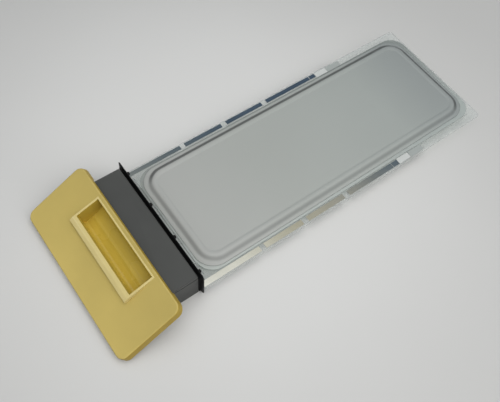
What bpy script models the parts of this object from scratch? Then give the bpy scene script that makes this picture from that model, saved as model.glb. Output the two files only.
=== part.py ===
"""Negative carrier: a drawer-like film carrier with an inclined pull plate, a neck and a clear film sheet.

+X runs from the handle to the far end of the film sheet, +Y to its left and +Z up. The origin is the
centre of the neck's flat underside. The cover leaf turns about the hinge pin, which lies along Y.
"""

import math

import bmesh
import bpy
from mathutils import Vector

MM = 0.001
GAP = 0.3 * MM  # play between pieces that touch

# The film sheet, which sets the size of everything else.
SHEET_WIDTH = 108 * MM
SHEET_LENGTH = 265 * MM
SHEET_THICKNESS = 1.2 * MM
SHEET_TOP = 9.0 * MM
TONGUE_HALF_WIDTH = 38 * MM
TONGUE_LENGTH = 21 * MM

# The sealing flange between neck and sheet; SEAL_X is its face on the sheet's side.
SEAL_X = 32 * MM
FLANGE_THICKNESS = 1.0 * MM
SEAL_THICKNESS = 0.6 * MM
FLANGE_HEIGHT = 28.2 * MM
FLANGE_TOP_CORNER = 1.5 * MM
FLANGE_FOOT_CORNER = 4.0 * MM

# The neck, a hollow box that the pull plate closes on its sloping side.
NECK_FRONT_X = SEAL_X - FLANGE_THICKNESS - SEAL_THICKNESS - 2 * GAP
NECK_REAR_X = -28 * MM
NECK_HALF_WIDTH = 50 * MM
NECK_HEIGHT = 25.8 * MM
NECK_WALL = 2.0 * MM
NECK_FLOOR = 2.4 * MM
NECK_SPLIT_Z = 22 * MM
NECK_BEVEL = 0.8 * MM

# The pull plate lies in its own frame: local +X up the slope, local +Z out of its face.
PLATE_TILT = math.radians(28.1)
PLATE_CENTRE = Vector((SEAL_X - 47.2 * MM, 0, 17.8 * MM))
PLATE_SLOPE_LENGTH = 53.2 * MM
PLATE_WIDTH = 128 * MM
PLATE_THICKNESS = 3.2 * MM
PLATE_CORNER = 6 * MM
PLATE_BEVEL = 1.3 * MM

# The plate's turned-down edge, open over the neck on the upper long side.
EDGE_DEPTH = 5.4 * MM
EDGE_WALL = 2.4 * MM
EDGE_DRAFT = 1.5 * MM  # how far each short end leans out at its foot
EDGE_OPENING_X = 20 * MM
EDGE_OPENING_HALF_WIDTH = NECK_HALF_WIDTH + 1 * MM

# The finger cup, in the pull plate's frame. Its rim stands proud of the plate along the outer side.
CUP_HALF_WIDTH = 36.1 * MM
CUP_OUTER_X = -0.5 * MM
CUP_INNER_X = 23.0 * MM
CUP_RIM_X = -1.4 * MM
CUP_RIM_HEIGHT = 3.0 * MM
CUP_DEPTH = 12 * MM
CUP_WALL = 1.5 * MM
CUP_LIP_X = 4.4 * MM

# The hinge of the cover leaf.
HINGE_X = SEAL_X + 4.0 * MM
HINGE_Z = SHEET_TOP + 2.2 * MM
KNUCKLE_RADIUS = 1.6 * MM
PIN_RADIUS = 0.65 * MM
PIN_PLAY = 0.15 * MM
FIXED_KNUCKLE = 9 * MM
LEAF_KNUCKLE = 18 * MM
LEAF_KNUCKLES = 3
RAIL_WIDTH = 1.3 * MM

# The cover leaf and the raised window pad on it.
LEAF_HALF_WIDTH = 47.6 * MM
LEAF_START = SEAL_X + 6.2 * MM
LEAF_END = SEAL_X + 263 * MM
LEAF_CORNER = 13 * MM
LEAF_THICKNESS = 0.8 * MM
LEAF_BOTTOM = SHEET_TOP + GAP
LEAF_TOP = LEAF_BOTTOM + LEAF_THICKNESS
PAD_START = SEAL_X + 11.4 * MM
PAD_END = SEAL_X + 254.9 * MM
PAD_HALF_WIDTH = 42.4 * MM
PAD_CORNER = 16 * MM
PAD_TOP = SHEET_TOP + 4.6 * MM
PAD_SKIRT = 4.2 * MM
PAD_SKIN = 0.8 * MM

# Metallised index strips along both edges of the sheet, with a break every 38 mm film frame.
STRIP_CENTRE_Y = 51.3 * MM
STRIP_WIDTH = 2.9 * MM
STRIP_THICKNESS = 0.2 * MM
STRIP_LIFT = 0.1 * MM
STRIP_ENDS = [(1.0, 48.7), (52.6, 86.0), (90.4, 124.4), (128.8, 172.4)]
TAIL_ENDS = (172.8, 178.4)
PALE_PAD_ENDS = (178.8, 190.0)
GREY_PAD_ENDS = (190.4, 203.8)
PAD_STRIP_WIDTH = 5.0 * MM

# Fasteners.
RIVET_PITCH = 30.3 * MM
RIVET_Z = SHEET_TOP + 11.7 * MM
RIVET_HEAD_RADIUS = 1.6 * MM
RIVET_HEAD_HEIGHT = 2.6 * MM
RIVET_SHANK_RADIUS = 1.2 * MM
SCREW_HEAD_RADIUS = 2.8 * MM
SCREW_HEAD_HEIGHT = 1.2 * MM
SCREW_RADIUS = 1.25 * MM
BOSS_RADIUS = 3.4 * MM
BOSS_Y = 42.6 * MM
HANDLE_SCREW_X = (-20 * MM, 2 * MM)
COVER_SCREW_X = 20 * MM
BOSS_FOOT_Z = 4.8 * MM
CLAMP_SCREW_Y = (-28 * MM, 0, 28 * MM)
CLAMP_X = (SEAL_X - 20 * MM, SEAL_X - 8 * MM)
CLAMP_HALF_WIDTH = 37 * MM
CLAMP_BAR_HEIGHT = 4.6 * MM

FAR = 60 * MM  # how far a cutter reaches past what it cuts


# ---------------------------------------------------------------- scene helpers


def clear_scene():
    for obj in list(bpy.data.objects):
        bpy.data.objects.remove(obj)


def new_collection(name):
    made = bpy.data.collections.new(name)
    bpy.context.scene.collection.children.link(made)
    return made


def plastic(name, colour, roughness, metallic=0.0, alpha=1.0):
    """A Principled material of one colour."""
    made = bpy.data.materials.new(name)
    made.use_nodes = True
    shader = made.node_tree.nodes["Principled BSDF"]
    shader.inputs["Base Color"].default_value = (*colour, 1)
    shader.inputs["Roughness"].default_value = roughness
    shader.inputs["Metallic"].default_value = metallic
    shader.inputs["Alpha"].default_value = alpha
    return made


def add(name, mesh, material=None):
    """Links a mesh as a piece of the carrier, or as a cutter where it has no material."""
    obj = bpy.data.objects.new(name, mesh)
    if material is None:
        cutters.objects.link(obj)
        obj.hide_render = True
        obj.display_type = "WIRE"
    else:
        parts.objects.link(obj)
        mesh.materials.append(material)
    return obj


def from_bmesh(name, bm, material=None):
    mesh = bpy.data.meshes.new(name)
    bm.to_mesh(mesh)
    bm.free()
    return add(name, mesh, material)


def bevel(obj, width, segments=2, angle=40):
    made = obj.modifiers.new("Bevel", "BEVEL")
    made.width = width
    made.segments = segments
    made.limit_method = "ANGLE"
    made.angle_limit = math.radians(angle)
    return obj


def combine(obj, other, operation):
    made = obj.modifiers.new(operation.title(), "BOOLEAN")
    made.operation = operation
    made.solver = "EXACT"
    made.object = other
    return obj


def cut(obj, *others):
    for other in others:
        combine(obj, other, "DIFFERENCE")
    return obj


def join(obj, *others):
    for other in others:
        combine(obj, other, "UNION")
    return obj


# ---------------------------------------------------------------- shape helpers


def filleted(corners, steps=4):
    """A closed outline from (x, y, radius) corners, with an arc at each corner that has a radius."""
    points = []
    for i, (x, y, radius) in enumerate(corners):
        here = Vector((x, y))
        if radius == 0:
            points.append(here)
            continue
        back = (Vector(corners[i - 1][:2]) - here).normalized()
        ahead = (Vector(corners[(i + 1) % len(corners)][:2]) - here).normalized()
        half = back.angle(ahead) / 2
        centre = here + (back + ahead).normalized() * (radius / math.sin(half))
        start = here + back * (radius / math.tan(half)) - centre
        turn = start.angle_signed(here + ahead * (radius / math.tan(half)) - centre)
        for step in range(steps + 1):
            angle = -turn * step / steps
            spoke = Vector((
                start.x * math.cos(angle) - start.y * math.sin(angle),
                start.x * math.sin(angle) + start.y * math.cos(angle),
            ))
            points.append(centre + spoke)
    return points


def rectangle(low, high, radius=0.0, steps=4):
    corners = [(low[0], low[1], radius), (high[0], low[1], radius)]
    corners += [(high[0], high[1], radius), (low[0], high[1], radius)]
    return filleted(corners, steps)


def extruded(name, outline, low, high, material=None, along="Z"):
    """A flat outline made solid from low to high along an axis.

    The outline is in (x, y) along Z, in (y, z) along X, and in (x, z) along Y.
    """
    curve = bpy.data.curves.new(name, "CURVE")
    curve.dimensions = "2D"
    curve.fill_mode = "BOTH"
    curve.extrude = (high - low) / 2
    spline = curve.splines.new("POLY")
    spline.points.add(len(outline) - 1)
    for point, (x, y) in zip(spline.points, outline):
        point.co = (x, y, 0, 1)
    spline.use_cyclic_u = True
    source = bpy.data.objects.new(name, curve)
    parts.objects.link(source)
    graph = bpy.context.evaluated_depsgraph_get()
    mesh = bpy.data.meshes.new_from_object(source.evaluated_get(graph))
    bpy.data.objects.remove(source)
    mesh.materials.clear()
    bm = bmesh.new()
    bm.from_mesh(mesh)
    bpy.data.meshes.remove(mesh)
    bmesh.ops.remove_doubles(bm, verts=bm.verts, dist=1e-7)
    bmesh.ops.dissolve_limit(bm, angle_limit=0.001, verts=bm.verts, edges=bm.edges)
    middle = (low + high) / 2
    for vert in bm.verts:
        x, y, z = vert.co
        places = {"X": (z + middle, x, y), "Y": (x, z + middle, y), "Z": (x, y, z + middle)}
        vert.co = places[along]
    bmesh.ops.recalc_face_normals(bm, faces=bm.faces)
    return from_bmesh(name, bm, material)


def box(name, low, high, material=None):
    bm = bmesh.new()
    bmesh.ops.create_cube(bm, size=1)
    low, high = Vector(low), Vector(high)
    bmesh.ops.scale(bm, vec=high - low, verts=bm.verts)
    bmesh.ops.translate(bm, vec=(low + high) / 2, verts=bm.verts)
    return from_bmesh(name, bm, material)


def rod(name, radius, start, end, material=None, sides=20):
    """A cylinder from one point to another."""
    start, end = Vector(start), Vector(end)
    bm = bmesh.new()
    bmesh.ops.create_cone(
        bm, cap_ends=True, segments=sides, radius1=radius, radius2=radius, depth=(end - start).length
    )
    turn = (end - start).to_track_quat("Z", "Y").to_matrix()
    bmesh.ops.rotate(bm, cent=(0, 0, 0), matrix=turn, verts=bm.verts)
    bmesh.ops.translate(bm, vec=(start + end) / 2, verts=bm.verts)
    return from_bmesh(name, bm, material)


def turned(name, profile, place, rotation, material, steps=18):
    """A turned piece: its (radius, height) profile runs from the top of its axis to the foot."""
    bm = bmesh.new()
    verts = [bm.verts.new((radius, 0, height)) for radius, height in profile]
    for first, second in zip(verts, verts[1:]):
        bm.edges.new((first, second))
    obj = from_bmesh(name, bm, material)
    obj.location = place
    obj.rotation_euler = rotation
    screw = obj.modifiers.new("Screw", "SCREW")
    screw.steps = steps
    screw.render_steps = steps
    screw.use_merge_vertices = True
    screw.merge_threshold = 1e-5
    screw.use_smooth_shade = True
    return obj


# ---------------------------------------------------------------- materials


clear_scene()
parts = new_collection("negative_carrier")
cutters = new_collection("cutters")

YELLOW = plastic("handle_yellow", (0.52, 0.39, 0.10), 0.42)
NECK_GREY = plastic("neck_grey", (0.085, 0.085, 0.082), 0.55)
SEAL_BLACK = plastic("seal_black", (0.012, 0.012, 0.014), 0.6)
CLEAR = plastic("clear_sheet", (0.80, 0.83, 0.82), 0.12, alpha=0.3)
WINDOW_GREY = plastic("window_grey", (0.37, 0.40, 0.38), 0.4)
FOIL = plastic("index_foil", (0.25, 0.30, 0.40), 0.15, metallic=1.0)
PALE_PAD = plastic("pale_pad", (0.72, 0.73, 0.70), 0.4)
GREY_PAD = plastic("grey_pad", (0.42, 0.45, 0.43), 0.4)
STEEL = plastic("steel", (0.55, 0.55, 0.56), 0.3, metallic=1.0)
ALUMINIUM = plastic("aluminium", (0.65, 0.66, 0.67), 0.35, metallic=1.0)


# ---------------------------------------------------------------- fasteners


def screw_profile(length):
    """A pan-head screw that stands on its tip: head down, so the profile's top is the tip."""
    return [
        (0, SCREW_HEAD_HEIGHT + length),
        (SCREW_RADIUS * 0.5, SCREW_HEAD_HEIGHT + length),
        (SCREW_RADIUS, SCREW_HEAD_HEIGHT + length - 1.0 * MM),
        (SCREW_RADIUS, SCREW_HEAD_HEIGHT),
        (SCREW_HEAD_RADIUS, SCREW_HEAD_HEIGHT),
        (SCREW_HEAD_RADIUS, 0.3 * MM),
        (SCREW_HEAD_RADIUS * 0.85, 0),
        (0, 0),
    ]


def screws_from_below():
    """Screws through the neck's floor, two pairs into the plate's bosses and one pair into the cover's."""
    for number, (x, side) in enumerate([(x, s) for x in HANDLE_SCREW_X for s in (-1, 1)], 1):
        place = (x, side * BOSS_Y, GAP)
        turned(f"handle_screw_{number}", screw_profile(9 * MM), place, (0, 0, 0), STEEL)
    for name, side in (("right", -1), ("left", 1)):
        place = (COVER_SCREW_X, side * BOSS_Y, GAP)
        turned(f"neck_screw_{name}", screw_profile(9 * MM), place, (0, 0, 0), STEEL)


def screw_holes(name):
    """Counterbored holes in the neck's floor, one per screw."""
    holes = []
    spots = [(x, side * BOSS_Y) for x in (*HANDLE_SCREW_X, COVER_SCREW_X) for side in (-1, 1)]
    head = GAP + SCREW_HEAD_HEIGHT + 0.2 * MM
    for number, (x, y) in enumerate(spots, 1):
        radius = SCREW_HEAD_RADIUS + GAP
        holes.append(rod(f"{name}_head_{number}", radius, (x, y, -MM), (x, y, head)))
        holes.append(rod(f"{name}_shank_{number}", SCREW_RADIUS + GAP, (x, y, 0), (x, y, 2 * NECK_FLOOR)))
    return holes


def boss(name, x, y, top):
    return rod(name, BOSS_RADIUS, (x, y, BOSS_FOOT_Z), (x, y, top))


def boss_hole(name, x, y):
    return rod(name, SCREW_RADIUS + GAP, (x, y, 0), (x, y, 12.5 * MM))


def seal_rivets():
    """Four push rivets, heads towards the sheet, that hold the flange and its seal to the neck."""
    shank = FLANGE_THICKNESS + SEAL_THICKNESS + 2 * GAP + NECK_WALL + 2 * MM
    head, top = RIVET_HEAD_RADIUS, RIVET_HEAD_HEIGHT
    profile = [(0, top), (head * 0.55, top * 0.93), (head * 0.88, top * 0.72), (head, top * 0.45)]
    profile += [(head, 0), (RIVET_SHANK_RADIUS, 0), (RIVET_SHANK_RADIUS, -shank), (0, -shank)]
    for number in range(4):
        place = (SEAL_X + GAP, (number - 1.5) * RIVET_PITCH, RIVET_Z)
        turned(f"seal_rivet_{number + 1}", profile, place, (0, math.pi / 2, 0), SEAL_BLACK, steps=16)


def rivet_holes(name):
    spots = [(number - 1.5) * RIVET_PITCH for number in range(4)]
    radius = RIVET_SHANK_RADIUS + GAP
    ends = (SEAL_X - 12 * MM, SEAL_X + 5 * MM)
    return [
        rod(f"{name}_{n}", radius, (ends[0], y, RIVET_Z), (ends[1], y, RIVET_Z), sides=16)
        for n, y in enumerate(spots, 1)
    ]


# ---------------------------------------------------------------- neck and handle


def slope_z(x, below=0.0):
    """Height, at x, of a plane parallel to the pull plate's underside and a distance below it."""
    drop = PLATE_THICKNESS + below
    start_x = PLATE_CENTRE.x + drop * math.sin(PLATE_TILT)
    start_z = PLATE_CENTRE.z - drop * math.cos(PLATE_TILT)
    return start_z + (x - start_x) * math.tan(PLATE_TILT)


def slope_x(z, below=0.0):
    """Where that plane reaches a height."""
    return (z - slope_z(0, below)) / math.tan(PLATE_TILT)


def handle_frame():
    """The empty that carries the plate and the cup at their slope."""
    frame = bpy.data.objects.new("handle_frame", None)
    parts.objects.link(frame)
    frame.location = PLATE_CENTRE
    frame.rotation_euler = (0, -PLATE_TILT, 0)
    return frame


def cup_outline(grow=0.0):
    """The finger cup's outside in the plate's (x, z), without its rim."""
    low = -CUP_DEPTH - CUP_WALL - grow
    return [
        (CUP_OUTER_X - grow, low, 3.5 * MM),
        (CUP_INNER_X + grow, low, 6.5 * MM),
        (CUP_INNER_X + grow, GAP + grow, 0),
        (CUP_OUTER_X - grow, GAP + grow, 0),
    ]


def finger_cup(frame):
    rim = [(CUP_INNER_X, 0.2 * MM, 0), (CUP_RIM_X, CUP_RIM_HEIGHT, 0.6 * MM)]
    rim += [(CUP_RIM_X, GAP, 0), (CUP_OUTER_X, GAP, 0)]
    outline = filleted(cup_outline()[:2] + rim)
    cup = extruded("finger_cup", outline, -CUP_HALF_WIDTH, CUP_HALF_WIDTH, YELLOW, along="Y")
    inner = CUP_INNER_X - 1.0 * MM
    outer = CUP_OUTER_X + CUP_WALL
    hollow = [
        (CUP_LIP_X, 2 * CUP_RIM_HEIGHT, 0),
        (CUP_LIP_X, -0.6 * MM, 0),
        (outer, -3.4 * MM, 0),
        (outer, -CUP_DEPTH, 3.0 * MM),
        (inner, -CUP_DEPTH, 6.0 * MM),
        (inner, 2 * CUP_RIM_HEIGHT, 0),
    ]
    half = CUP_HALF_WIDTH - CUP_WALL
    trough = extruded("cup_trough", filleted(hollow), -half, half, along="Y")
    bevel(trough, 0.6 * MM, angle=60)
    cut(cup, trough)
    cup.parent = frame
    trough.parent = frame
    return cup


def handle_plate(frame):
    half_slope, half_width = PLATE_SLOPE_LENGTH / 2, PLATE_WIDTH / 2
    outline = rectangle((-half_slope, -half_width), (half_slope, half_width), PLATE_CORNER, steps=6)
    plate = extruded("handle_plate", outline, -EDGE_DEPTH, 0, YELLOW)
    for vert in plate.data.vertices:
        if vert.co.z < -EDGE_DEPTH / 2:
            vert.co.y *= 1 + EDGE_DRAFT / half_width
    bevel(plate, PLATE_BEVEL, segments=3)
    inner = (half_slope - EDGE_WALL, half_width - EDGE_WALL)
    dished = rectangle((-inner[0], -inner[1]), inner, PLATE_CORNER - EDGE_WALL, steps=4)
    dish = extruded("plate_dish", dished, -FAR, -PLATE_THICKNESS)
    gate_low = (EDGE_OPENING_X, -EDGE_OPENING_HALF_WIDTH, -FAR)
    gate = box("plate_gate", gate_low, (FAR, EDGE_OPENING_HALF_WIDTH, -PLATE_THICKNESS))
    low = (CUP_OUTER_X - GAP, -CUP_HALF_WIDTH - GAP, -FAR)
    high = (CUP_INNER_X + GAP, CUP_HALF_WIDTH + GAP, FAR)
    opening = box("cup_opening", low, high)
    for piece in (plate, dish, gate, opening):
        piece.parent = frame
    cut(plate, dish, gate, opening)
    spots = [(x, side * BOSS_Y) for x in HANDLE_SCREW_X for side in (-1, 1)]
    for number, (x, y) in enumerate(spots, 1):
        join(plate, boss(f"handle_boss_{number}", x, y, slope_z(x, below=-1.5 * MM)))
        cut(plate, boss_hole(f"handle_boss_hole_{number}", x, y))
    return plate


def sheet_slot(name):
    half = TONGUE_HALF_WIDTH + GAP
    low, high = SHEET_TOP - SHEET_THICKNESS - GAP, SHEET_TOP + GAP
    return box(name, (NECK_FRONT_X - 2 * NECK_WALL, -half, low), (SEAL_X + MM, half, high))


def neck_body():
    """The deep lower shell: floor, side walls and front wall, open towards plate and cover."""
    top = NECK_SPLIT_Z - GAP / 2
    corners = [
        (NECK_REAR_X, 0, 0),
        (NECK_FRONT_X, 0, 0),
        (NECK_FRONT_X, top, 0),
        (slope_x(top, GAP), top, 0),
        (NECK_REAR_X, slope_z(NECK_REAR_X, GAP), 0),
    ]
    outline = filleted(corners)
    body = extruded("neck_body", outline, -NECK_HALF_WIDTH, NECK_HALF_WIDTH, NECK_GREY, along="Y")
    half = NECK_HALF_WIDTH - NECK_WALL
    low = (NECK_REAR_X + NECK_WALL, -half, NECK_FLOOR)
    inside = box("neck_inside", low, (NECK_FRONT_X - NECK_WALL, half, FAR))
    cut(body, inside, sheet_slot("neck_slot"), *rivet_holes("neck_rivet_hole"), *screw_holes("floor_hole"))
    return body


def neck_cover(frame):
    """The cap over the neck's top, with two screw bosses that hang into the body."""
    low, top = NECK_SPLIT_Z + GAP / 2, NECK_HEIGHT
    corners = [
        (NECK_FRONT_X, low, 0),
        (NECK_FRONT_X, top, 1.2 * MM),
        (slope_x(top, GAP), top, 0),
        (slope_x(low, GAP), low, 0),
    ]
    outline = filleted(corners, steps=3)
    cover = extruded("neck_cover", outline, -NECK_HALF_WIDTH, NECK_HALF_WIDTH, NECK_GREY, along="Y")
    bevel(cover, NECK_BEVEL, angle=80)
    half = NECK_HALF_WIDTH - NECK_WALL
    inside_low = (-FAR, -half, 0)
    inside_high = (NECK_FRONT_X - NECK_WALL, half, NECK_HEIGHT - NECK_WALL)
    room = extruded("cup_room", filleted(cup_outline(2 * GAP)), -half, half, along="Y")
    room.parent = frame
    cut(cover, box("cover_inside", inside_low, inside_high), room)
    for name, side in (("right", -1), ("left", 1)):
        spot = (COVER_SCREW_X, side * BOSS_Y)
        join(cover, boss(f"cover_boss_{name}", *spot, NECK_HEIGHT - NECK_WALL / 2))
        cut(cover, boss_hole(f"cover_boss_hole_{name}", *spot))
    return cover


# ---------------------------------------------------------------- seal and clamp


def flange_layer(name, x_low, x_high):
    """One layer of the flange, with the sheet's slot and the rivets' holes."""
    half = SHEET_WIDTH / 2
    corners = [(-half, 0, FLANGE_FOOT_CORNER), (half, 0, FLANGE_FOOT_CORNER)]
    corners += [(half, FLANGE_HEIGHT, FLANGE_TOP_CORNER), (-half, FLANGE_HEIGHT, FLANGE_TOP_CORNER)]
    outline = filleted(corners)
    layer = extruded(name, outline, x_low, x_high, SEAL_BLACK, along="X")
    return cut(layer, sheet_slot(f"{name}_slot"), *rivet_holes(f"{name}_hole"))


def seal_and_flange():
    flange_layer("seal_flange", SEAL_X - FLANGE_THICKNESS, SEAL_X)
    face = SEAL_X - FLANGE_THICKNESS - GAP
    flange_layer("light_seal", face - SEAL_THICKNESS, face)


def clamp():
    """Two bars that grip the sheet's tongue inside the neck, and the screws through them."""
    below = SHEET_TOP - SHEET_THICKNESS - GAP
    above = SHEET_TOP + GAP
    bars = []
    for name, low in (("clamp_bar_lower", below - CLAMP_BAR_HEIGHT), ("clamp_bar_upper", above)):
        corner = (CLAMP_X[0], -CLAMP_HALF_WIDTH, low)
        other = (CLAMP_X[1], CLAMP_HALF_WIDTH, low + CLAMP_BAR_HEIGHT)
        bars.append(bevel(box(name, corner, other, ALUMINIUM), 0.4 * MM, 1))
    x = sum(CLAMP_X) / 2
    head = above + CLAMP_BAR_HEIGHT + GAP + SCREW_HEAD_HEIGHT
    for number, y in enumerate(CLAMP_SCREW_Y, 1):
        turned(f"clamp_screw_{number}", screw_profile(9 * MM), (x, y, head), (math.pi, 0, 0), STEEL)
        for piece in (*bars, bpy.data.objects["base_sheet"]):
            hole = rod(f"{piece.name}_hole_{number}", SCREW_RADIUS + GAP, (x, y, -MM), (x, y, FAR))
            cut(piece, hole)


# ---------------------------------------------------------------- film sheet


def base_sheet():
    """The clear sheet, with a narrower tongue that reaches into the neck."""
    half = SHEET_WIDTH / 2
    start, end = SEAL_X + GAP, SEAL_X + SHEET_LENGTH
    corners = [
        (SEAL_X - TONGUE_LENGTH, -TONGUE_HALF_WIDTH, 2 * MM),
        (start, -TONGUE_HALF_WIDTH, 0),
        (start, -half, 1 * MM),
        (end, -half, 3 * MM),
        (end, half, 3 * MM),
        (start, half, 1 * MM),
        (start, TONGUE_HALF_WIDTH, 0),
        (SEAL_X - TONGUE_LENGTH, TONGUE_HALF_WIDTH, 2 * MM),
    ]
    return extruded("base_sheet", filleted(corners), SHEET_TOP - SHEET_THICKNESS, SHEET_TOP, CLEAR)


def index_strips():
    """Four foil strips, a tail and two pads along each edge of the sheet."""
    low = SHEET_TOP + STRIP_LIFT
    rows = [(f"index_strip_{{}}_{n}", ends, STRIP_WIDTH, FOIL) for n, ends in enumerate(STRIP_ENDS, 1)]
    rows.append(("strip_tail_{}", TAIL_ENDS, STRIP_WIDTH, FOIL))
    rows.append(("pale_pad_{}", PALE_PAD_ENDS, PAD_STRIP_WIDTH, PALE_PAD))
    rows.append(("grey_pad_{}", GREY_PAD_ENDS, PAD_STRIP_WIDTH, GREY_PAD))
    outer = STRIP_CENTRE_Y + STRIP_WIDTH / 2
    for label, side in (("right", -1), ("left", 1)):
        for name, (start, end), width, material in rows:
            edges = sorted((side * outer, side * (outer - min(width, outer - LEAF_HALF_WIDTH - GAP))))
            corner = (SEAL_X + start * MM, edges[0], low)
            other = (SEAL_X + end * MM, edges[1], low + STRIP_THICKNESS)
            box(name.format(label), corner, other, material)


def knuckle_spans():
    """The knuckles along the pin as (belongs to the leaf, low y, high y)."""
    spans = []
    y = -((LEAF_KNUCKLES + 1) * FIXED_KNUCKLE + LEAF_KNUCKLES * LEAF_KNUCKLE) / 2
    for number in range(2 * LEAF_KNUCKLES + 1):
        of_leaf = number % 2 == 1
        width = LEAF_KNUCKLE if of_leaf else FIXED_KNUCKLE
        spans.append((of_leaf, y + GAP / 2, y + width - GAP / 2))
        y += width
    return spans


def knuckle(name, low, high):
    return rod(name, KNUCKLE_RADIUS, (HINGE_X, low, HINGE_Z), (HINGE_X, high, HINGE_Z))


def pin_bore(name):
    radius = PIN_RADIUS + PIN_PLAY
    return rod(name, radius, (HINGE_X, -FAR, HINGE_Z), (HINGE_X, FAR, HINGE_Z))


def hinge_rail():
    """The hinge's fixed side: a rail on the sheet with four knuckles."""
    spans = knuckle_spans()
    start = SEAL_X + 0.6 * MM
    low = (start, spans[0][1], SHEET_TOP + GAP)
    rail = box("hinge_rail", low, (start + RAIL_WIDTH, spans[-1][2], HINGE_Z), CLEAR)
    for number, (of_leaf, y_low, y_high) in enumerate(spans):
        if not of_leaf:
            foot = (start + RAIL_WIDTH / 2, y_low, SHEET_TOP + GAP)
            web = box(f"rail_web_{number}", foot, (HINGE_X, y_high, HINGE_Z - 0.4 * MM))
            join(rail, web, knuckle(f"rail_knuckle_{number}", y_low, y_high))
    return cut(rail, pin_bore("rail_bore"))


def hinge_pin():
    spans = knuckle_spans()
    start = (HINGE_X, spans[0][1] - 0.2 * MM, HINGE_Z)
    end = (HINGE_X, spans[-1][2] + 0.2 * MM, HINGE_Z)
    return rod("hinge_pin", PIN_RADIUS, start, end, STEEL, sides=16)


def on_hinge(obj):
    """Moves a piece's origin to the middle of the hinge pin, where it turns."""
    pivot = Vector((HINGE_X, 0, HINGE_Z))
    obj.data.transform(obj.matrix_world.Translation(-pivot))
    obj.location = pivot
    return obj


def cover_leaf():
    """The clear leaf that opens, with the moving knuckles on its near edge."""
    low, high = (LEAF_START, -LEAF_HALF_WIDTH), (LEAF_END, LEAF_HALF_WIDTH)
    outline = rectangle(low, high, LEAF_CORNER, steps=6)
    leaf = on_hinge(extruded("cover_leaf", outline, LEAF_BOTTOM, LEAF_TOP, CLEAR))
    for number, (of_leaf, y_low, y_high) in enumerate(knuckle_spans()):
        if of_leaf:
            strap_low = (HINGE_X, y_low, LEAF_BOTTOM)
            strap = box(f"leaf_strap_{number}", strap_low, (LEAF_START + MM, y_high, LEAF_TOP + 0.2 * MM))
            join(leaf, strap, knuckle(f"leaf_knuckle_{number}", y_low, y_high))
    return cut(leaf, pin_bore("leaf_bore"))


def window_pad():
    """The formed grey pad: a flat skirt, a sloping wall and a raised flat top, open underneath."""
    foot = LEAF_TOP + GAP + PAD_SKIN
    levels = [
        (PAD_SKIRT, foot),
        (2.0 * MM, foot),
        (1.4 * MM, foot + 0.35 * (PAD_TOP - foot)),
        (0.8 * MM, foot + 0.75 * (PAD_TOP - foot)),
        (0.0, PAD_TOP),
    ]
    bm = bmesh.new()
    loops = []
    for out, z in levels:
        low = (PAD_START - out, -PAD_HALF_WIDTH - out)
        high = (PAD_END + out, PAD_HALF_WIDTH + out)
        outline = rectangle(low, high, PAD_CORNER + out, steps=5)
        loops.append([bm.verts.new((x, y, z)) for x, y in outline])
    for lower, upper in zip(loops, loops[1:]):
        for i in range(len(lower)):
            bm.faces.new((lower[i - 1], lower[i], upper[i], upper[i - 1]))
    bm.faces.new(loops[-1])
    bmesh.ops.recalc_face_normals(bm, faces=bm.faces)
    pad = on_hinge(from_bmesh("window_pad", bm, WINDOW_GREY))
    shell = pad.modifiers.new("Solidify", "SOLIDIFY")
    shell.thickness = PAD_SKIN
    shell.offset = -1
    shell.use_even_offset = True
    return pad


# ---------------------------------------------------------------- assembly


def build():
    frame = handle_frame()
    handle_plate(frame)
    finger_cup(frame)
    neck_body()
    neck_cover(frame)
    screws_from_below()
    seal_and_flange()
    seal_rivets()
    base_sheet()
    clamp()
    index_strips()
    hinge_rail()
    hinge_pin()
    cover_leaf()
    window_pad()
    bpy.context.view_layer.update()


build()
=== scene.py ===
"""Looks of the negative carrier: materials, shown pieces, floor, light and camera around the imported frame."""

import math

import bmesh
import bpy
from mathutils import Matrix, Vector


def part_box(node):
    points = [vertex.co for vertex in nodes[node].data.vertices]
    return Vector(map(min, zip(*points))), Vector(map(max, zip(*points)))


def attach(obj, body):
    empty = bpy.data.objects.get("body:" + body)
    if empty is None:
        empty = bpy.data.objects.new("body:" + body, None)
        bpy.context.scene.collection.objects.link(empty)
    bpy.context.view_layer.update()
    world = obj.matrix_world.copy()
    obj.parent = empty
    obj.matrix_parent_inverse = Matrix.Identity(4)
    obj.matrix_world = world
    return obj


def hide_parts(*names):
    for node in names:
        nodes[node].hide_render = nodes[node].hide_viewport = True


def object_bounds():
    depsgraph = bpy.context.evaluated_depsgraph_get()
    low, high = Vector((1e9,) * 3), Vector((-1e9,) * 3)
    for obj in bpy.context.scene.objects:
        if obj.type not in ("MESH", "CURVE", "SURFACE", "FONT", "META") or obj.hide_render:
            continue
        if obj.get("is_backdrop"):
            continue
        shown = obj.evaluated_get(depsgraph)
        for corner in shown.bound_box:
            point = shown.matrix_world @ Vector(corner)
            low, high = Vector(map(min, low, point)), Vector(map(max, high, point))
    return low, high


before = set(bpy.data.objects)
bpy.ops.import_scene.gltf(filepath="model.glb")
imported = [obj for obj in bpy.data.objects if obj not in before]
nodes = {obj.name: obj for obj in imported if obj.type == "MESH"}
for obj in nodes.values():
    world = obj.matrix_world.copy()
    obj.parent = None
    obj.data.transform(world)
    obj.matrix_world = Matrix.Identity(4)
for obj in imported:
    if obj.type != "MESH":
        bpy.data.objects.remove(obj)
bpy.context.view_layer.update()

MM = 0.001
MERGE = 1e-6  # corners closer than this are one
LET_BY = 0.85  # the share of a film's cover that the light falling through it doesn't meet
SEAL_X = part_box("seal_flange")[1].x  # the flange's face, where the sheet starts
SHEET_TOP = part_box("base_sheet")[1].z
SHEET_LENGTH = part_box("base_sheet")[1].x - SEAL_X
LEAF_SIDE = 47 * MM  # where the cover's painted light and shade across it reach their edge values


# ---------------------------------------------------------------- node helpers


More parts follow.
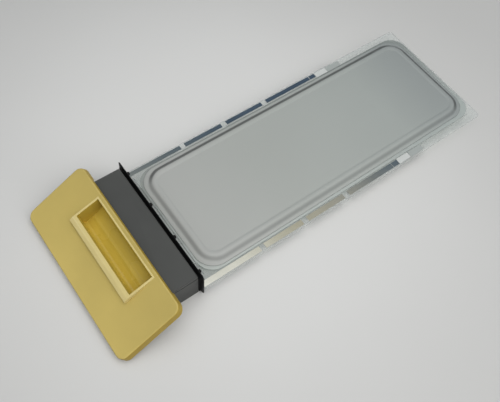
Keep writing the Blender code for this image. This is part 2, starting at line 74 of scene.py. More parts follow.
def makers(tree):
    """A node maker and a link maker for a node tree."""

    def node(kind, **settings):
        found = tree.nodes.new("ShaderNode" + kind)
        for key, value in settings.items():
            if key in found.inputs:
                found.inputs[key].default_value = value
            else:
                setattr(found, key, value)
        return found

    def link(source, socket, target, into):
        tree.links.new(source.outputs[socket], target.inputs[into])

    return node, link


def new_material(name):
    """An empty node material: (material, node maker, link maker, output node)."""
    made = bpy.data.materials.new(name)
    made.use_nodes = True
    made.node_tree.nodes.clear()
    node, link = makers(made.node_tree)
    return made, node, link, node("OutputMaterial")


def ramp(node, stops):
    """Sets a colour ramp's stops from (position, colour)."""
    elements = node.color_ramp.elements
    for element in list(elements)[1:]:
        elements.remove(element)
    elements[0].position = stops[0][0]
    elements[0].color = (*stops[0][1], 1)
    for position, colour in stops[1:]:
        elements.new(position).color = (*colour, 1)
    return node


def shades(colour, spread):
    """Two neighbours of a colour, darker and lighter by a share."""
    low = tuple(c * (1 - spread) for c in colour)
    high = tuple(min(1.0, c * (1 + spread)) for c in colour)
    return low, high


def grey(value):
    """A colour without a tint."""
    return (value, value, value)


def ranged(node, link, source, low, high, span=(0.0, 1.0), **settings):
    """A value taken from the span to low and high, and held there: (map range node, its socket)."""
    made = node("MapRange", **settings)
    made.inputs["From Min"].default_value, made.inputs["From Max"].default_value = span
    made.inputs["To Min"].default_value = low
    made.inputs["To Max"].default_value = high
    link(*source, made, "Value")
    return made, "Result"


def times(node, link, colour, factor):
    """A colour multiplied by another colour or value: (mix node, its socket)."""
    made = node("MixRGB", blend_type="MULTIPLY", Fac=1.0)
    link(*colour, made, "Color1")
    link(*factor, made, "Color2")
    return made, "Color"


def patches(node, link, place, scale, low, high, **settings):
    """Slow noise in object space, and the two tones that it wanders between: (noise, ramp)."""
    clouds = node("TexNoise", Scale=scale, **settings)
    link(place, "Object", clouds, "Vector")
    tones = ramp(node("ValToRGB"), [(0.3, low), (0.7, high)])
    link(clouds, "Fac", tones, "Fac")
    return clouds, tones


def bumped(node, link, source, strength, distance=0.0002):
    """A bump from a noise's value."""
    made = node("Bump", Strength=strength, Distance=distance)
    link(source, "Fac", made, "Height")
    return made


def moulded(name, colour, roughness, grain=900, depth=0.05, wear_and_highlight=None, specular=0.5, shade_aloft=None):
    """Moulded plastic: fine spark-eroded grain, slow tone variation, and paler edges if asked for: wear and
    painted highlight.

    Where a painted shade is asked for with (low, high, share), its tone is scaled to that share from the low
    height to the high one: painted shade that darkens the higher part.
    """
    made, node, link, output = new_material(name)
    shader = node("BsdfPrincipled")
    shader.inputs["Specular IOR Level"].default_value = specular
    place = node("TexCoord")
    clouds, tones = patches(node, link, place, 28, *shades(colour, 0.05), Detail=3.0, Roughness=0.55)
    shown = (tones, "Color")
    # Paler convex edges, broken up by the noise: partly wear, partly painted highlight along the edges.
    if wear_and_highlight is not None:
        bend = node("NewGeometry")
        worn_and_lit_edges = ramp(node("ValToRGB"), [(0.52, grey(0)), (0.62, grey(1))])
        link(bend, "Pointiness", worn_and_lit_edges, "Fac")
        broken = node("Math", operation="MULTIPLY")
        link(worn_and_lit_edges, "Color", broken, 0)
        link(clouds, "Fac", broken, 1)
        mix = node("MixRGB")
        link(broken, "Value", mix, "Fac")
        link(tones, "Color", mix, "Color1")
        mix.inputs["Color2"].default_value = (*wear_and_highlight, 1)
        shown = (mix, "Color")
    # Painted shade: the tone is made darker towards the high height.
    if shade_aloft is not None:
        low, high, share = shade_aloft
        split = node("SeparateXYZ")
        link(place, "Object", split, 0)
        painted_height_shade = ranged(node, link, (split, "Z"), 1.0, share, (low, high))
        shown = times(node, link, shown, painted_height_shade)
    link(*shown, shader, "Base Color")
    uneven = ranged(node, link, (clouds, "Fac"), roughness - 0.05, roughness + 0.07)
    link(*uneven, shader, "Roughness")
    fine = node("TexNoise", Scale=grain, Detail=2.0, Roughness=0.6)
    link(place, "Object", fine, "Vector")
    link(bumped(node, link, fine, depth), "Normal", shader, "Normal")
    link(shader, "BSDF", output, "Surface")
    return made


def lets_light_by(node, link, amount):
    """A cover amount that is lower for the light that falls through to what lies below."""
    rays = node("LightPath")
    passing = node("Math", operation="MAXIMUM")
    link(rays, "Is Shadow Ray", passing, 0)
    link(rays, "Is Diffuse Ray", passing, 1)
    less = node("Math", operation="MULTIPLY_ADD")
    less.inputs[1].default_value = -LET_BY
    less.inputs[2].default_value = 1.0
    link(passing, "Value", less, 0)
    shown = node("Math", operation="MULTIPLY", use_clamp=True)
    link(*amount, shown, 0)
    link(less, "Value", shown, 1)
    return shown, "Value"


def outside_gloss(node, link, surface, roughness, normal):
    """Adds a Fresnel gloss over a surface, on the outside of its walls only."""
    gloss = node("BsdfGlossy", Roughness=roughness)
    fresnel = node("Fresnel", IOR=1.5)
    link(normal, "Normal", gloss, "Normal")
    link(normal, "Normal", fresnel, "Normal")
    facing = node("NewGeometry")
    outside = node("Math", operation="SUBTRACT")
    outside.inputs[0].default_value = 1.0
    link(facing, "Backfacing", outside, 1)
    shown = node("Math", operation="MULTIPLY", use_clamp=True)
    link(fresnel, "Fac", shown, 0)
    link(outside, "Value", shown, 1)
    both = node("MixShader")
    link(shown, "Value", both, "Fac")
    link(*surface, both, 1)
    link(gloss, "BSDF", both, 2)
    return both


def clear_film(name, tint, haze, body, edge=0.5):
    """Clear plastic sheet: seen through, with a milky haze, a tinted edge and a gloss from Fresnel."""
    made, node, link, output = new_material(name)
    place = node("TexCoord")
    smears = node("TexNoise", Scale=22, Detail=4.0, Roughness=0.6, Distortion=0.6)
    link(place, "Object", smears, "Vector")
    through = node("BsdfTransparent")
    through.inputs["Color"].default_value = (*tint, 1)
    milk = node("BsdfDiffuse")
    milk.inputs["Color"].default_value = (*body, 1)
    facing = node("LayerWeight", Blend=0.35)
    total = node("Math", operation="ADD", use_clamp=True)
    veil = ranged(node, link, (facing, "Facing"), haze, edge)
    dust = ranged(node, link, (smears, "Fac"), -0.04, 0.05)
    link(*veil, total, 0)
    link(*dust, total, 1)
    sheet = node("MixShader")
    link(*lets_light_by(node, link, (total, "Value")), sheet, "Fac")
    link(through, "BSDF", sheet, 1)
    link(milk, "BSDF", sheet, 2)
    ripple = node("TexNoise", Scale=60, Detail=2.0)
    link(place, "Object", ripple, "Vector")
    both = outside_gloss(node, link, (sheet, "Shader"), 0.08, bumped(node, link, ripple, 0.12, 0.0003))
    link(both, "Shader", output, "Surface")
    return made


def grey_film(name, stages, cover, steep_shade=0.60, lee_shade=0.40, sides=(1.0, 1.0)):
    """Formed grey film: satin, its tone fading slowly along the sheet through stages of (mm, colour).

    It is painted darker where its wall is steep, by the steep share, and darker again, by the lee share, where
    that wall faces the far end or the left edge, away from the light: painted shade. A wall that faces the
    flange is painted lighter, painted light. Its tone at the sheet's right and left edge differs by the shares
    in sides, painted light and shade.
    """
    made, node, link, output = new_material(name)
    place = node("TexCoord")
    split = node("SeparateXYZ")
    link(place, "Object", split, 0)
    lean = node("SeparateXYZ")
    link(place, "Normal", lean, 0)
    along = ranged(node, link, (split, "X"), 0.0, 1.0, (SEAL_X, SEAL_X + SHEET_LENGTH))
    fade = ramp(node("ValToRGB"), [(x * MM / SHEET_LENGTH, colour) for x, colour in stages])
    link(*along, fade, "Fac")
    # Painted light and shade across the sheet: its right and left edges take the shares in sides.
    across = ranged(node, link, (split, "Y"), *sides, (-LEAF_SIDE, LEAF_SIDE))
    shown = times(node, link, (fade, "Color"), across)
    _, tones = patches(
        node, link, place, 9, grey(0.955), grey(1.0), Detail=4.0, Roughness=0.5, Distortion=0.4
    )
    shown = times(node, link, shown, (tones, "Color"))
    # Painted shade: steep walls are painted darker, and darker again where they face the far end or the left
    # edge.
    upright = node("Math", operation="ABSOLUTE")
    link(lean, "Z", upright, 0)
    walls = ramp(node("ValToRGB"), [(0.70, grey(steep_shade)), (0.97, grey(1))])
    link(upright, "Value", walls, "Fac")
    shown = times(node, link, shown, (walls, "Color"))
    away = node("Math", operation="MAXIMUM")
    link(lean, "X", away, 0)
    link(lean, "Y", away, 1)
    shaded = ramp(node("ValToRGB"), [(0.22, grey(1)), (0.50, grey(lee_shade))])
    link(away, "Value", shaded, "Fac")
    shown = times(node, link, shown, (shaded, "Color"))
    # Painted light: walls that face the flange are painted lighter.
    flange_side_light = ranged(node, link, (lean, "X"), 1.0, 1.25, (-0.15, -0.70))
    shown = times(node, link, shown, flange_side_light)
    shader = node("BsdfPrincipled", Roughness=0.42, IOR=1.6)
    link(*shown, shader, "Base Color")
    fine = node("TexNoise", Scale=700, Detail=2.0)
    link(place, "Object", fine, "Vector")
    link(bumped(node, link, fine, 0.04), "Normal", shader, "Normal")
    through = node("BsdfTransparent")
    through.inputs["Color"].default_value = (0.80, 0.84, 0.81, 1)
    covered = node("Value")
    covered.outputs[0].default_value = cover
    mix = node("MixShader")
    link(*lets_light_by(node, link, (covered, "Value")), mix, "Fac")
    link(through, "BSDF", mix, 1)
    link(shader, "BSDF", mix, 2)
    link(mix, "Shader", output, "Surface")
    return made


def metal(name, colour, roughness, depth=0.08, stretch=(1, 1, 12)):
    """Metal with fine drawn scratches and uneven polish."""
    made, node, link, output = new_material(name)
    shader = node("BsdfPrincipled", Metallic=1.0)
    place = node("TexCoord")
    squeeze = node("Mapping")
    squeeze.inputs["Scale"].default_value = stretch
    link(place, "Object", squeeze, "Vector")
    lines = node("TexNoise", Scale=350, Detail=3.0)
    link(squeeze, "Vector", lines, "Vector")
    _, tones = patches(node, link, place, 40, *shades(colour, 0.08), Detail=3.0)
    link(tones, "Color", shader, "Base Color")
    polish = ranged(node, link, (lines, "Fac"), roughness * 0.7, roughness * 1.3)
    link(*polish, shader, "Roughness")
    link(bumped(node, link, lines, depth), "Normal", shader, "Normal")
    link(shader, "BSDF", output, "Surface")
    return made


# ---------------------------------------------------------------- mesh helpers


def paint(node_names, material):
    """Gives CAD nodes a material."""
    for name in node_names:
        mesh = nodes[name].data
        mesh.materials.clear()
        mesh.materials.append(material)


def soften(node_names, width):
    """Rounds a CAD node's sharp edges with modifiers, which leave its mesh as it is."""
    for name in node_names:
        piece = nodes[name]
        for polygon in piece.data.polygons:
            polygon.use_smooth = True
        weld = piece.modifiers.new("Weld", "WELD")
        weld.merge_threshold = MERGE
        round_edges(piece, width)


def round_edges(piece, width, angle=40):
    """Bevels the edges sharper than an angle, and keeps the flat faces flat."""
    made = piece.modifiers.new("Bevel", "BEVEL")
    made.width = width
    made.segments = 2
    made.limit_method = "ANGLE"
    made.angle_limit = math.radians(angle)
    made.use_clamp_overlap = True
    piece.modifiers.new("WeightedNormal", "WEIGHTED_NORMAL")


def mesh_from(name, bm, *materials):
    """A smooth mesh from a bmesh, which it frees, with its materials."""
    bmesh.ops.recalc_face_normals(bm, faces=bm.faces)
    for face in bm.faces:
        face.smooth = True
    mesh = bpy.data.meshes.new(name)
    bm.to_mesh(mesh)
    bm.free()
    for material in materials:
        mesh.materials.append(material)
    return mesh


def piece_from(name, data):
    """A mesh, a light or a camera put into the scene as an object."""
    made = bpy.data.objects.new(name, data)
    bpy.context.scene.collection.objects.link(made)
    return made


def rounded(low, high, radii, steps=8, sides=(1, 1)):
    """A rounded rectangle from low to high, with a radius for each corner and its sides divided.

    The corners run from the low one anticlockwise; sides says how many parts a first and a second side has.
    """
    (x0, y0), (x1, y1) = low, high
    middles = [
        (x0 + radii[0], y0 + radii[0]),
        (x1 - radii[1], y0 + radii[1]),
        (x1 - radii[2], y1 - radii[2]),
        (x0 + radii[3], y1 - radii[3]),
    ]

    def on_arc(number, angle):
        """The point of a corner's arc in a direction from its middle."""
        x, y = middles[number]
        return Vector((x + radii[number] * math.cos(angle), y + radii[number] * math.sin(angle)))

    points = []
    for number, count in enumerate(sides * 2):
        begin = math.pi * (1 + number / 2)
        points += [on_arc(number, begin + math.pi / 2 * step / steps) for step in range(steps + 1)]
        last, following = points[-1], on_arc((number + 1) % 4, begin + math.pi / 2)
        points += [last.lerp(following, part / count) for part in range(1, count)]
    return points


def circle(middle, radius, count=20):
    """A circle's outline around a point."""
    turns = [math.tau * n / count for n in range(count)]
    return [(middle[0] + radius * math.cos(turn), middle[1] + radius * math.sin(turn)) for turn in turns]


def filleted(corners, steps=8):
    """A closed outline from (x, y, radius) corners in mm, with an arc at each corner that has a radius."""
    corners = [[value * MM for value in corner] for corner in corners]
    points = []
    for i, (x, y, radius) in enumerate(corners):
        here = Vector((x, y))
        if radius == 0:
            points.append(here)
            continue
        back = (Vector(corners[i - 1][:2]) - here).normalized()
        ahead = (Vector(corners[(i + 1) % len(corners)][:2]) - here).normalized()
        half = back.angle(ahead) / 2
        centre = here + (back + ahead).normalized() * (radius / math.sin(half))
        spoke = here + back * (radius / math.tan(half)) - centre
        turn = spoke.angle_signed(here + ahead * (radius / math.tan(half)) - centre)
        for step in range(steps + 1):
            points.append(centre + Matrix.Rotation(-turn * step / steps, 2) @ spoke)
    return points


def skinned(loops, closed=True):
    """A bmesh from loops of equal length, in order, capped at both ends where closed."""
    bm = bmesh.new()
    rings = [[bm.verts.new(point) for point in loop] for loop in loops]
    for lower, upper in zip(rings, rings[1:]):
        for i in range(len(lower)):
            bm.faces.new((lower[i - 1], lower[i], upper[i], upper[i - 1]))
    bm.faces.new(rings[-1])
    if closed:
        bm.faces.new(rings[0])
    return bm


def prism(outline, low, high, along):
    """A flat outline made solid from low to high along Y, X or Z."""
    places = {
        "X": lambda a, b, c: (c, a, b),
        "Y": lambda a, b, c: (a, c, b),
        "Z": lambda a, b, c: (a, b, c),
    }[along]
    return skinned([[places(p[0], p[1], at) for p in outline] for at in (low, high)])


def carved(name, base, steps):
    """The mesh that is left of a base mesh after steps of (operation, mesh)."""
    body = piece_from(name, base)
    tools = []
    for number, (operation, mesh) in enumerate(steps):
        tool = piece_from(f"{name}_tool_{number}", mesh)
        tools.append(tool)
        made = body.modifiers.new(tool.name, "BOOLEAN")
        made.operation = operation
        made.solver = "EXACT"
        made.material_mode = "TRANSFER"
        made.object = tool
    bpy.context.view_layer.update()
    graph = bpy.context.evaluated_depsgraph_get()
    mesh = bpy.data.meshes.new_from_object(body.evaluated_get(graph))
    mesh.name = name
    for used in (body, *tools):
        bpy.data.objects.remove(used)
    return mesh


def tidy_mesh(mesh, frame_matrix=None):
    """Merges what a cut left double, puts the mesh in its frame and shades it smooth."""
    bm = bmesh.new()
    bm.from_mesh(mesh)
    bmesh.ops.remove_doubles(bm, verts=bm.verts, dist=MERGE)
    bmesh.ops.dissolve_limit(
        bm, angle_limit=math.radians(0.5), verts=bm.verts, edges=bm.edges, delimit={"MATERIAL"}
    )
    if frame_matrix is not None:
        bm.transform(frame_matrix)
    for face in bm.faces:
        face.smooth = True
    bm.to_mesh(mesh)
    bm.free()
    return mesh


# ---------------------------------------------------------------- materials


# The plate's yellow, painted darker up towards the neck as painted shade, with paler edges that are partly wear
# and partly painted highlight.
YELLOW = moulded(
    "handle_yellow", (0.575, 0.445, 0.134), 0.45,
    wear_and_highlight=(0.66, 0.55, 0.24), specular=0.3, shade_aloft=(5 * MM, 30 * MM, 0.83),
)
# A darker copy of the plate's yellow for its skirt: painted shade, with paler edges that are partly wear and
# partly painted highlight.
SKIRT_SHADE = moulded("handle_yellow_skirt_shade", (0.375, 0.260, 0.042), 0.45, wear_and_highlight=(0.55, 0.42, 0.12), specular=0.25)
# A deeper yellow for the trough, painted bounce light from its walls; painted darker up towards the inner lip
# as painted shade, with paler edges that are partly wear and partly painted highlight.
TROUGH_PAINTED_LIGHT = moulded(
    "handle_yellow_trough_painted_light", (0.61, 0.443, 0.066), 0.26,
    depth=0.02, wear_and_highlight=(0.64, 0.53, 0.22), shade_aloft=(8 * MM, 17 * MM, 0.76),
)
# A paler copy of the yellow for the finger cup and its raised edge: painted light where that edge faces the
# light, with paler edges that are partly wear and partly painted highlight.
RIM_PAINTED_LIGHT = moulded(
    "handle_yellow_rim_painted_light", (0.65, 0.53, 0.22), 0.36, depth=0.03, wear_and_highlight=(0.74, 0.65, 0.36), specular=0.4
)
# The neck's paler edges are partly wear and partly painted highlight.
NECK = moulded(
    "neck_grey", (0.056, 0.058, 0.056), 0.55, grain=1400, depth=0.12, wear_and_highlight=(0.12, 0.12, 0.115), specular=0.35
)
BLACK = moulded("seal_black", (0.007, 0.007, 0.0075), 0.55, grain=1200, specular=0.25)
CLEAR = clear_film("clear_sheet", (0.975, 0.985, 0.98), 0.12, (0.60, 0.62, 0.615), edge=0.4)
RAIL = clear_film("clear_rail", (0.98, 0.985, 0.98), 0.15, (0.62, 0.64, 0.63))
# Painted shade on its steep walls and on those facing away from the light, painted light on walls facing the
# flange, and its right side painted lighter than its left.
LEAF = grey_film(
    "leaf_grey",
    [(30, (0.44, 0.46, 0.445)), (240, (0.36, 0.385, 0.38))],
    0.70,
    steep_shade=0.85, lee_shade=0.62, sides=(1.24, 0.76),
)
# Painted shade on its steep walls and on those facing away from the light, and painted light on walls facing
# the flange.
WINDOW = grey_film(
    "window_grey",
    [
        (25, (0.415, 0.420, 0.406)), (90, (0.388, 0.402, 0.384)), (200, (0.366, 0.389, 0.376)),
        (237, (0.316, 0.339, 0.335)), (255, (0.298, 0.319, 0.318)),
    ],
    0.92,
)
FOIL = metal("index_foil", (0.93, 0.93, 0.91), 0.10, depth=0.03)
STEEL = metal("steel", (0.55, 0.55, 0.56), 0.3)
PIN = metal("hinge_steel", (0.80, 0.81, 0.80), 0.5)
ALUMINIUM = metal("aluminium", (0.65, 0.66, 0.67), 0.35, stretch=(1, 14, 1))
PALE = moulded("pale_pad", (0.57, 0.585, 0.575), 0.35, grain=600)
GREY = moulded("grey_pad", (0.36, 0.385, 0.375), 0.35, grain=600)

SIDES = ("left", "right")
paint(["handle_plate", "finger_cup"], YELLOW)
paint(["neck_body", "neck_cover"], NECK)
paint(["seal_flange", "light_seal"] + [f"seal_rivet_{n}" for n in range(1, 5)], BLACK)
paint(["base_sheet"], CLEAR)
paint(["hinge_rail"], RAIL)
paint(["cover_leaf"], LEAF)
paint(["window_pad"], WINDOW)
paint([f"index_strip_{side}_{n}" for side in SIDES for n in range(1, 5)], FOIL)
paint([f"strip_tail_{side}" for side in SIDES], FOIL)
paint([f"pale_pad_{side}" for side in SIDES], PALE)
paint([f"grey_pad_{side}" for side in SIDES], GREY)
screws = [f"handle_screw_{n}" for n in range(1, 5)] + [f"clamp_screw_{n}" for n in range(1, 4)]
paint(screws + ["neck_screw_left", "neck_screw_right"], STEEL)
paint(["hinge_pin"], PIN)
paint(["clamp_bar_lower", "clamp_bar_upper"], ALUMINIUM)


# ---------------------------------------------------------------- handle
# Its parts are drawn in the plate's own frame: X up its slope, Z out of its top, from the middle of that top.

PLATE_IN_PLACE = (
    Matrix.Translation((SEAL_X - 47.2 * MM, 0, 17.8 * MM)) @ Matrix.Rotation(-math.radians(28.1), 4, "Y")
)
HALF_SLOPE, HALF_WIDTH, PLATE_CORNER = 26.54 * MM, 64 * MM, 6 * MM
PLATE_DEPTH, PLATE_SKIN, PLATE_WALL = 5.4 * MM, 3.2 * MM, 2.4 * MM
FAR = 60 * MM  # well past the plate, for the cutting tools
# The finger cup's outside and its wall, in mm, as its outlines are; its back is down the slope.
CUP_BACK, CUP_FRONT, CUP_BOTTOM, CUP_HALF, CUP_WALL = -0.5, 23, -13.5, 36.1, 1.5


def plate_block():
    """The plate, still solid: a rolled top edge, ends that lean out downwards, and a skirt in a darker yellow,
    painted shade.
    """
    roll, draft = 1.2 * MM, 1.2 * MM
    levels = [(-PLATE_DEPTH, 0.3 * MM), (-PLATE_DEPTH + 0.1 * MM, 0.1 * MM), (-PLATE_DEPTH + 0.3 * MM, 0)]
    for step in range(6):
        angle = math.pi / 2 * step / 5
        levels.append((-roll + roll * math.sin(angle), roll - roll * math.cos(angle)))
    rings = []
    for height, inset in levels:
        high = (HALF_SLOPE - inset, HALF_WIDTH - inset - draft * height / PLATE_DEPTH)
        outline = rounded((-high[0], -high[1]), high, [PLATE_CORNER - inset] * 4)
        rings.append([(x, y, height) for x, y in outline])
    plate = mesh_from("plate", skinned(rings), YELLOW, SKIRT_SHADE)
    # Its steep faces take the darker yellow: painted shade on the skirt.
    for polygon in plate.polygons:
        polygon.material_index = int(abs(polygon.normal.z) < 0.6)
    return plate


def plate_hollows():
    """What is cut from under the plate's skin: its hollow, and the gate in its skirt for the neck."""
    inner = (HALF_SLOPE - PLATE_WALL, HALF_WIDTH - PLATE_WALL)
    dish = rounded((-inner[0], -inner[1]), inner, [PLATE_CORNER - PLATE_WALL] * 4)
    gate = rounded((20 * MM, -51 * MM), (FAR, 51 * MM), [0.5 * MM] * 4, steps=2)
    return [
        mesh_from(name, prism(outline, -FAR, -PLATE_SKIN, "Z"), YELLOW)
        for name, outline in (("dish", dish), ("gate", gate))
    ]


def cup_shell():
    """The finger cup, still solid: a raised edge at its back, and its rim just over the plate's top."""
    rim = 0.08
    outline = filleted([
        (CUP_BACK, CUP_BOTTOM, 3.5),
        (CUP_FRONT, CUP_BOTTOM, 6.5),
        (CUP_FRONT + 0.8, -0.5, 0),
        (CUP_FRONT + 0.8, rim, 0.1),
        (CUP_FRONT - 2, rim, 0),
        (1.8, 3.1, 6.0),
        (-1.4, 2.5, 0.5),
        (-1.4, -1.0, 0),
        (CUP_BACK, -1.0, 0),
    ])
    # The cup takes the paler yellow: painted light.
    return mesh_from("shell", prism(outline, -CUP_HALF * MM, CUP_HALF * MM, "Y"), RIM_PAINTED_LIGHT)


def cup_trough():
    """What is cut from the finger cup: its trough, which leaves a low ridge across the floor."""
    back, front, floor_at = CUP_BACK + CUP_WALL, CUP_FRONT - 1, CUP_BOTTOM + CUP_WALL
    ridge, ridge_half, ridge_height = 9.1, 2.0, 0.4
    above = 6
    outline = filleted([
        (4.4, above, 0),
        (4.4, -0.6, 0.4),
        (back, -3.4, 1.0),
        (back, floor_at, 3.0),
        (ridge - ridge_half, floor_at, 2.0),
        (ridge, floor_at + ridge_height, 2.0),
        (ridge + ridge_half, floor_at, 2.0),
        (front, floor_at, 6.0),
        (front, -1.2, 0),
        (front + 0.7, -0.3, 0.2),
        (front + 0.7, above, 0),
    ])
    half = (CUP_HALF - CUP_WALL) * MM
    return mesh_from("trough", prism(outline, -half, half, "Y"), TROUGH_PAINTED_LIGHT)


def handle():
    """The pull plate and its finger cup as one moulding, without a seam."""
    dish, gate = plate_hollows()
    mesh = carved(
        "handle_moulding",
        plate_block(),
        [("DIFFERENCE", dish), ("DIFFERENCE", gate), ("UNION", cup_shell()), ("DIFFERENCE", cup_trough())],
    )
    made = piece_from("handle_moulding", tidy_mesh(mesh, PLATE_IN_PLACE))
    round_edges(made, 0.35 * MM, 33)
    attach(made, "carrier")
    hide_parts("handle_plate", "finger_cup")


# ---------------------------------------------------------------- flange


SLOT_HALF = 38.3 * MM  # half the width of the slot that the sheet comes through
BORE = 1.5 * MM  # the radius of a rivet's hole


def through_lips(name, outline):
    """A cutting step that takes an outline, seen along X, out of both lips."""
    reach = 8 * MM
    return "DIFFERENCE", mesh_from(name, prism(outline, SEAL_X - reach, SEAL_X + reach, "X"), BLACK)


def flange_lip(name, faces, edge, shrink):
    """One black lip of the flange: thick inside, tapered to a thin edge that stands off the other lip.

    Faces and edge are places in mm from the flange's face; shrink makes the lip smaller than its CAD box.
    """
    inside, taper, tip = 7.0 * MM, 2.6 * MM, 0.25 * MM
    levels = [
        (faces[0], inside), (faces[0], taper), (edge[0], tip), (sum(edge) / 2, 0.0),
        (edge[1], tip), (faces[1], taper), (faces[1], inside),
    ]
    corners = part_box(name)
    half, top = corners[1].y - shrink, corners[1].z - shrink
    rings = []
    for place, inset in levels:
        foot, crown, least = 4.5 * MM - inset, 2.5 * MM - inset, 0.5 * MM
        radii = [max(radius, least) for radius in (foot, foot, crown, crown)]
        outline = rounded((-half + inset, inset), (half - inset, top - inset), radii)
        rings.append([(SEAL_X + place * MM, y, z) for y, z in outline])
    lip = mesh_from(name, skinned(rings), BLACK)
    slot_low, slot_high = (-SLOT_HALF, SHEET_TOP - 1.5 * MM), (SLOT_HALF, SHEET_TOP + 0.3 * MM)
    steps = [through_lips("slot", rounded(slot_low, slot_high, [0.2 * MM] * 4, steps=2))]
    for number in range(1, 5):
        low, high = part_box(f"seal_rivet_{number}")
        middle = (low + high) / 2
        steps.append(through_lips("bore", circle((middle.y, middle.z), BORE)))
    made = piece_from(f"{name}_lip", tidy_mesh(carved(name, lip, steps)))
    round_edges(made, 0.12 * MM, 50)
    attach(made, "carrier")
    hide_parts(name)


# ---------------------------------------------------------------- formed window


FLAT_START = 8.2  # mm inside the foot's outline, where the film's flat starts


def wave(x, y, inset):
    """How far the film's flat lies off its height, in mm: nothing at its start, then a faint wave."""
    grown = min(max((inset - FLAT_START) / 6, 0.0), 1.0)
    return grown * (0.10 * math.sin(x / 31 + y / 23) + 0.06 * math.sin(x / 17 - y / 13 + 1.3))


def narrowed(x, y):
    """The film's right side, y below 0, drawn in a little towards the far end; both in mm."""
    begin, length, share = 60, 200, 0.034
    return y * (1 - share * min(max((x - begin) / length, 0.0), 1.0)) if y < 0 else y


def formed_window():
    """The grey window as one formed film: skirt, sloping wall, rolled rim, inner step and faintly wavy flat.

    A level is (outline, inset, height) in mm, where an outline is (near end, far end, right, left, corner).
    """
    skirt = (7.2, 259.6, -46.2, 46.4, 15.0)
    foot = (9.8, 257.6, -44.3, 44.0, 15.0)
    levels = [(skirt, 0.0, 10.42), (skirt, 0.08, 10.66), (skirt, 0.35, 10.76), (foot, -0.9, 10.78)]
    profile = [
        (-0.4, 10.84), (0.1, 10.98), (0.7, 11.30), (1.4, 11.87), (2.1, 12.47), (2.8, 12.98), (3.4, 13.30),
        (4.0, 13.47), (4.6, 13.54), (5.4, 13.53), (6.1, 13.45), (6.8, 13.22), (7.4, 13.10),
        (FLAT_START, 13.12),
    ]
    profile += [(inset, 13.14) for inset in (10, 13, 18, 24, 30, 36, 41)]
    levels += [(foot, inset, height) for inset, height in profile]
    rings = []
    for (near, far, right, left, corner), inset, height in levels:
        low, high = (near + inset, right + inset), (far - inset, left - inset)
        outline = rounded(low, high, [max(corner - inset, 1.2)] * 4, steps=10, sides=(32, 10))
        rings.append([
            (SEAL_X + x * MM, narrowed(x, y) * MM, (height + wave(x, y, inset)) * MM) for x, y in outline
        ])
    made = piece_from("formed_window", mesh_from("formed_window", skinned(rings, closed=False), WINDOW))
    shell = made.modifiers.new("Solidify", "SOLIDIFY")
    shell.thickness = 0.35 * MM
    shell.offset = -1
    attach(made, "cover")
    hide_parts("window_pad")


# ---------------------------------------------------------------- foils


def foil_strips():
    """The index strips and their tails as thin foils, their corners rounded and their inner sides wider."""
    wider_left, wider_right = 0.6 * MM, 1.4 * MM
    for side in SIDES:
        for name in [f"index_strip_{side}_{n}" for n in range(1, 5)] + [f"strip_tail_{side}"]:
            low, high = (corner.copy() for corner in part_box(name))
            if side == "left":
                low.y -= wider_left
            else:
                high.y += wider_right
            outline = rounded(low[:2], high[:2], [0.3 * MM] * 4, steps=3)
            foil = mesh_from(f"{name}_foil", prism(outline, low.z, high.z, "Z"), FOIL)
            for polygon in foil.polygons:
                polygon.use_smooth = False
            made = piece_from(foil.name, foil)
            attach(made, "carrier")
            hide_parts(name)


# ---------------------------------------------------------------- the shown pieces


handle()
foil_strips()
flange_lip("light_seal", (-1.9, -1.3), (-1.9, -1.6), 2.4 * MM)
flange_lip("seal_flange", (-1.0, 0.0), (-0.6, -0.1), 0.0)
formed_window()
soften(["neck_cover", "neck_body"], 0.45 * MM)
soften(["base_sheet"], 0.2 * MM)


# ---------------------------------------------------------------- floor, light and camera


def floor():
    """Pale paper, a little darker away from a pool of light around the part."""
    pool_middle, pool_reach, dimmed = (0.10, 0.03, 0), (0.07, 0.28), 0.82
    material, node, link, output = new_material("floor_paper")
    shader = node("BsdfPrincipled", Roughness=0.6)
    place = node("TexCoord")
    _, tones = patches(node, link, place, 6, (0.645, 0.64, 0.632), (0.66, 0.655, 0.647), Detail=3.0)
    away = node("VectorMath", operation="DISTANCE")
    link(place, "Object", away, 0)
    away.inputs[1].default_value = pool_middle
    pool = ranged(
        node, link, (away, "Value"), 1.0, dimmed, pool_reach, interpolation_type="SMOOTHSTEP"
    )
    link(*times(node, link, (tones, "Color"), pool), shader, "Base Color")
    link(shader, "BSDF", output, "Surface")
    bm = bmesh.new()
    bmesh.ops.create_grid(bm, x_segments=1, y_segments=1, size=3.0)
    mesh = bpy.data.meshes.new("floor")
    bm.to_mesh(mesh)
    bm.free()
    mesh.materials.append(material)
    made = piece_from("floor", mesh)
    made.location.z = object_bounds()[0].z
    made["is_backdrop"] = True


def area_light(name, place, target, size, energy, colour):
    """A soft disk light, which the foils and films don't mirror."""
    data = bpy.data.lights.new(name, "AREA")
    data.shape = "DISK"
    data.size = size
    data.energy = energy
    data.color = colour
    lamp = piece_from(name, data)
    lamp.location = place
    lamp.visible_glossy = False
    lamp.rotation_euler = (Vector(target) - Vector(place)).to_track_quat("-Z", "Y").to_euler()


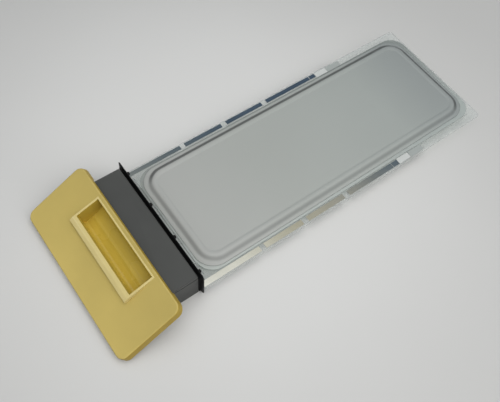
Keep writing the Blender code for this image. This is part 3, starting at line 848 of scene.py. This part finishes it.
def room():
    """A dim, bluish room, bright and a little warm overhead, which the foils mirror."""
    world = bpy.data.worlds.new("studio")
    bpy.context.scene.world = world
    world.use_nodes = True
    background = world.node_tree.nodes["Background"]
    node, link = makers(world.node_tree)
    split = node("SeparateXYZ")
    link(node("TexCoord"), "Generated", split, 0)
    height = node("Math", operation="MULTIPLY_ADD")
    link(split, "Y", height, 0)
    height.inputs[1].default_value = -0.1
    link(split, "Z", height, 2)
    shade = ramp(
        node("ValToRGB"),
        [
            (0.0, (0.35, 0.36, 0.37)),
            (0.40, (0.16, 0.18, 0.21)),
            (0.71, (0.055, 0.082, 0.12)),
            (0.758, (0.060, 0.087, 0.125)),
            (0.776, (0.10, 0.133, 0.153)),
            (0.790, (0.18, 0.20, 0.205)),
            (0.822, (0.34, 0.33, 0.28)),
            (0.849, (0.42, 0.40, 0.30)),
            (0.873, (0.62, 0.62, 0.55)),
            (0.90, (0.78, 0.78, 0.72)),
            (0.96, (0.90, 0.90, 0.87)),
        ],
    )
    link(height, "Value", shade, "Fac")
    link(shade, "Color", background, "Color")


def lights():
    """A wide and a close light overhead, and two warmer fills behind the camera, to its left and right."""
    cool, warm = (0.985, 0.993, 1.0), (1, 0.985, 0.965)
    middle = (0.12, 0, 0)
    area_light("ceiling", (0.1, 0.0, 1.3), (0.1, 0, 0), 3.0, 7.5, cool)
    area_light("overhead", (0.07, 0.0, 0.55), (0.07, 0, 0), 0.6, 0.85, cool)
    area_light("left_fill", (-0.6, -0.5, 0.8), middle, 1.0, 2.4, warm)
    area_light("front_fill", (0.4, -0.9, 0.75), middle, 1.0, 4.6, warm)


def camera():
    """The photo's viewpoint: high over the handle's right side, looking down and across the part."""
    data = bpy.data.cameras.new("camera")
    data.lens = 47.12
    made = piece_from("camera", data)
    made.location = (-0.06131, -0.19324, 0.4162)
    made.rotation_euler = [math.radians(turn) for turn in (30.117, -3.419, -35.854)]
    bpy.context.scene.camera = made


floor()
room()
lights()
camera()
bpy.context.scene.view_settings.view_transform = "Standard"
